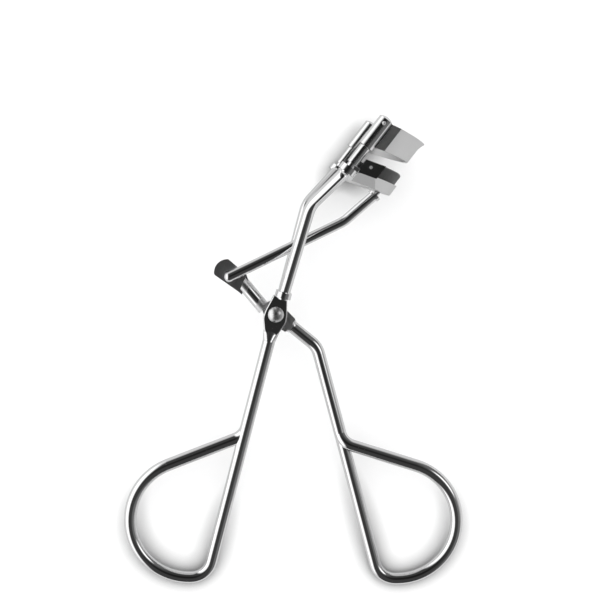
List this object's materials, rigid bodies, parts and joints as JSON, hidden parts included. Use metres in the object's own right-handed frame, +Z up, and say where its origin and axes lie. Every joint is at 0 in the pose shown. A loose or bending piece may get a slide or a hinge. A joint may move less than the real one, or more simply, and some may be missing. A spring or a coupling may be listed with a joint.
{
  "type": "eyelash curler",
  "caption": "Chromed wire eyelash curler: scissor handles with finger loops, sliding lower jaw with a soft pad, curved fixed upper jaw.",
  "frame": {"origin": "centre of the footprint on the surface the curler lies on", "axes": "+Z up from the surface, +Y from the finger loops to the jaws, +X from the frame handle to the lever handle"},
  "size_m": [0.0766, 0.107, 0.0382],
  "materials": {
    "polished_chrome": "mirror-bright chrome plate on steel",
    "pad": "satin silicone rubber"
  },
  "bodies": {
    "frame": {"frame_handle": "polished_chrome", "fork_rod_near": "polished_chrome", "fork_rod_far": "polished_chrome", "guide_rod_near": "polished_chrome", "guide_rod_far": "polished_chrome", "upper_jaw": "polished_chrome", "crimp_pin_near": "polished_chrome", "crimp_pin_far": "polished_chrome", "pivot_rivet": "polished_chrome", "pivot_washer": "polished_chrome"},
    "lever": {"lever_handle": "polished_chrome", "flag_eyelet": "polished_chrome"},
    "link": {"link_rod": "polished_chrome", "link_collar": "polished_chrome"},
    "lower_jaw_slide": {"lower_jaw": "polished_chrome", "lash_pad": "pad", "pad_pin_near": "polished_chrome", "pad_pin_far": "polished_chrome"}
  },
  "joints": [
    {"name": "lever_pivot", "type": "hinge", "parent": "frame", "child": "lever", "pos_m": [-0.00407, 0.00773, 0.0124], "axis": [0, 0.1808, -0.9835], "range_deg": [-3, 12]},
    {"name": "jaw_slide", "type": "slide", "parent": "frame", "child": "lower_jaw_slide", "axis": [0.6129, 0.7771, 0.1429], "range_m": [-0.00072, 0.00289]},
    {"name": "link_pivot", "type": "hinge", "parent": "lever", "child": "link", "pos_m": [-0.01438, 0.01599, 0.01392], "axis": [0, 0.1808, -0.9835], "range_deg": [-12.48, 3.13]}
  ],
  "couplings": [
    {"joint": "jaw_slide", "follows": "lever_pivot", "m_per_rad": 0.013805},
    {"joint": "link_pivot", "follows": "lever_pivot", "ratio": -1.039}
  ]
}
